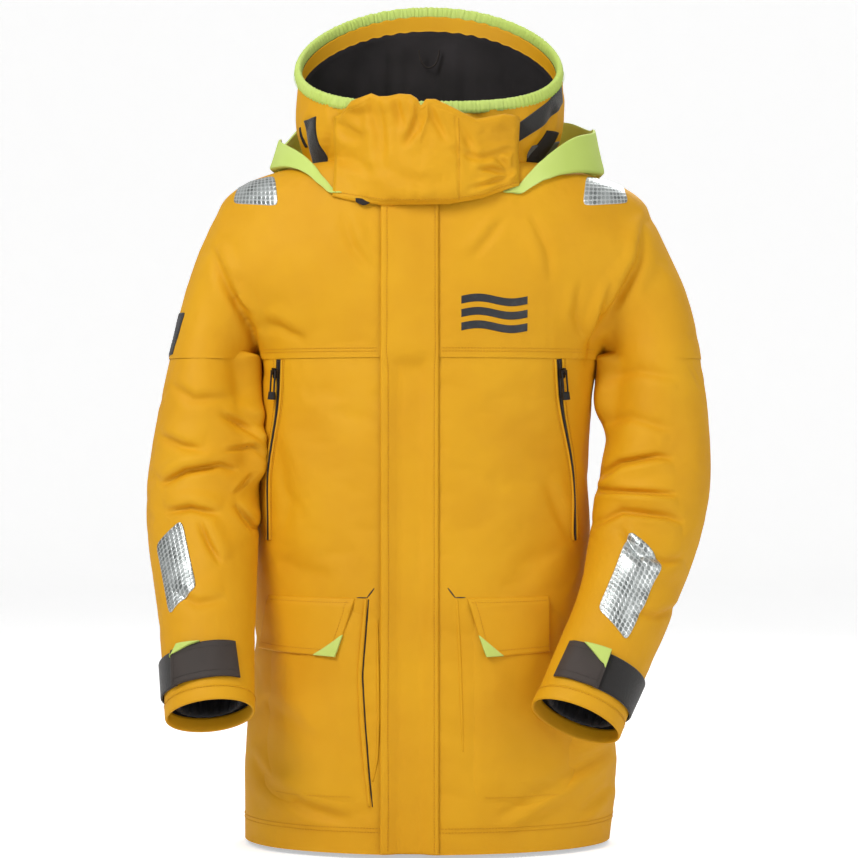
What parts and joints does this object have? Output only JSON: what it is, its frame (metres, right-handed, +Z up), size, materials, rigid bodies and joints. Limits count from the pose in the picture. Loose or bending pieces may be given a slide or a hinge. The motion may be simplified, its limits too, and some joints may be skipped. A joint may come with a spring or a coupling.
{
  "type": "foul weather jacket",
  "caption": "Hooded sailing jacket with high collar, face guard, storm flap, cargo pockets, zipped chest pockets and adjustable cuffs.",
  "frame": {"origin": "floor point under the centre of the hem", "axes": "+Z up along the body, -Y towards the front, +X towards the wearer's left hand"},
  "size_m": [0.7327, 0.5158, 1.112],
  "materials": {
    "shell_fabric": "woven, matt with a soft sheen",
    "bright_fabric": "fine woven, matt",
    "dark_fabric": "woven tape and hook-and-loop, matt",
    "fleece": "brushed pile",
    "elbow_fabric": "coarse weave, hard wearing",
    "lining_fabric": "thin mesh",
    "reflective": "silver film with round cells",
    "print_ink": "smooth print",
    "zip_teeth": "moulded",
    "zip_metal": "dark coated",
    "cord": "braided",
    "cord_lock_plastic": "fine texture"
  },
  "bodies": {
    "torso": {"back_panel": "shell_fabric", "back_yoke": "shell_fabric", "right_front_panel": "shell_fabric", "left_front_panel": "shell_fabric", "right_front_yoke": "shell_fabric", "left_front_yoke": "shell_fabric", "body_lining": "lining_fabric", "hem_drawcord": "cord", "main_zip_tapes": "dark_fabric", "main_zip_teeth": "zip_teeth", "storm_flap_loops": "dark_fabric", "right_chest_zip": "dark_fabric", "left_chest_zip": "dark_fabric", "right_cargo_pocket": "shell_fabric", "left_cargo_pocket": "shell_fabric", "pocket_bags": "lining_fabric", "chest_badge": "print_ink", "shoulder_reflectors": "reflective", "collar_shell": "shell_fabric", "collar_lining": "fleece", "collar_binding": "bright_fabric", "collar_hook_strip": "dark_fabric", "collar_loop_strip": "dark_fabric", "hanger_loop": "dark_fabric", "hood_neck_panel": "bright_fabric", "right_hood_wing": "bright_fabric", "left_hood_wing": "bright_fabric"},
    "hem_locks": {"hem_cord_locks": "cord_lock_plastic"},
    "main_slider": {"main_zip_slider": "zip_metal"},
    "storm_flap": {"storm_flap": "shell_fabric", "storm_flap_hooks": "dark_fabric"},
    "right_chest_slider": {"right_chest_zip_slider": "zip_metal"},
    "right_chest_puller": {"right_chest_zip_puller": "cord"},
    "left_chest_slider": {"left_chest_zip_slider": "zip_metal"},
    "left_chest_puller": {"left_chest_zip_puller": "cord"},
    "right_cargo_flap": {"right_cargo_flap": "shell_fabric", "right_cargo_flap_corner": "bright_fabric"},
    "left_cargo_flap": {"left_cargo_flap": "shell_fabric", "left_cargo_flap_corner": "bright_fabric"},
    "face_guard": {"face_guard": "shell_fabric"},
    "hood": {"hood_shell": "bright_fabric", "hood_brim": "bright_fabric", "hood_adjuster": "dark_fabric"},
    "right_sleeve": {"right_upper_sleeve": "shell_fabric", "right_elbow_patch": "elbow_fabric", "sleeve_label": "print_ink"},
    "right_forearm": {"right_forearm": "shell_fabric", "right_forearm_reflector": "reflective", "right_cuff_loop_strip": "dark_fabric", "right_inner_cuff": "lining_fabric"},
    "right_cuff_tab": {"right_cuff_tab": "dark_fabric", "right_cuff_tab_corner": "bright_fabric"},
    "left_sleeve": {"left_upper_sleeve": "shell_fabric", "left_elbow_patch": "elbow_fabric"},
    "left_forearm": {"left_forearm": "shell_fabric", "left_forearm_reflector": "reflective", "left_cuff_loop_strip": "dark_fabric", "left_inner_cuff": "lining_fabric"},
    "left_cuff_tab": {"left_cuff_tab": "dark_fabric", "left_cuff_tab_corner": "bright_fabric"}
  },
  "joints": [
    {"name": "hem_lock_slide", "type": "slide", "parent": "torso", "child": "hem_locks", "axis": [0, 1, 0], "range_m": [0, 0.006]},
    {"name": "main_zip_slide", "type": "slide", "parent": "torso", "child": "main_slider", "axis": [0, -0.0339, -0.9994], "range_m": [0, 0.735]},
    {"name": "storm_flap_open", "type": "hinge", "parent": "torso", "child": "storm_flap", "pos_m": [0.0126, -0.1642, 0], "axis": [0, 0.0339, 0.9994], "range_deg": [0, 110]},
    {"name": "right_chest_zip_slide", "type": "slide", "parent": "torso", "child": "right_chest_slider", "axis": [-0.049, 0.001, -0.9988], "range_m": [0, 0.195]},
    {"name": "right_puller_swing", "type": "hinge", "parent": "right_chest_slider", "child": "right_chest_puller", "pos_m": [-0.20104, -0.0754, 0.61187], "axis": [-0.6398, 0.7678, 0.0321], "range_deg": [0, 120]},
    {"name": "left_chest_zip_slide", "type": "slide", "parent": "torso", "child": "left_chest_slider", "axis": [0.0865, 0.0881, -0.9923], "range_m": [0, 0.195]},
    {"name": "left_puller_swing", "type": "hinge", "parent": "left_chest_slider", "child": "left_chest_puller", "pos_m": [0.17345, -0.09779, 0.61132], "axis": [-0.6978, -0.7056, -0.1235], "range_deg": [0, 120]},
    {"name": "right_cargo_flap_lift", "type": "hinge", "parent": "torso", "child": "right_cargo_flap", "pos_m": [-0.14768, -0.13567, 0.3205], "axis": [-1, 0, 0], "range_deg": [0, 85]},
    {"name": "left_cargo_flap_lift", "type": "hinge", "parent": "torso", "child": "left_cargo_flap", "pos_m": [0.10074, -0.14909, 0.3205], "axis": [-0.9903, -0.1392, 0], "range_deg": [0, 95]},
    {"name": "face_guard_open", "type": "hinge", "parent": "torso", "child": "face_guard", "pos_m": [-0.1245, -0.113, 0.88], "axis": [0, 0, -1], "range_deg": [0, 95]},
    {"name": "hood_raise", "type": "hinge", "parent": "torso", "child": "hood", "pos_m": [0, 0, 0.9], "axis": [1, 0, 0], "range_deg": [0, 105]},
    {"name": "right_shoulder", "type": "hinge", "parent": "torso", "child": "right_sleeve", "pos_m": [-0.28, 0, 0.812], "axis": [0, 1, 0], "range_deg": [0, 60]},
    {"name": "right_elbow", "type": "hinge", "parent": "right_sleeve", "child": "right_forearm", "pos_m": [-0.294, -0.048, 0.445], "axis": [-0.9996, 0, 0.0278], "range_deg": [0, 55]},
    {"name": "right_cuff_tab_open", "type": "hinge", "parent": "right_forearm", "child": "right_cuff_tab", "pos_m": [-0.23301, -0.21763, 0.24173], "axis": [-0.049, 0.4887, 0.8711], "range_deg": [0, 100]},
    {"name": "left_shoulder", "type": "hinge", "parent": "torso", "child": "left_sleeve", "pos_m": [0.29, 0, 0.815], "axis": [0, -1, 0], "range_deg": [0, 60]},
    {"name": "left_elbow", "type": "hinge", "parent": "left_sleeve", "child": "left_forearm", "pos_m": [0.2905, -0.048, 0.452], "axis": [-0.9996, 0, -0.0278], "range_deg": [0, 55]},
    {"name": "left_cuff_tab_open", "type": "hinge", "parent": "left_forearm", "child": "left_cuff_tab", "pos_m": [0.16222, -0.22633, 0.24295], "axis": [-0.3824, -0.328, -0.8638], "range_deg": [0, 100]}
  ]
}
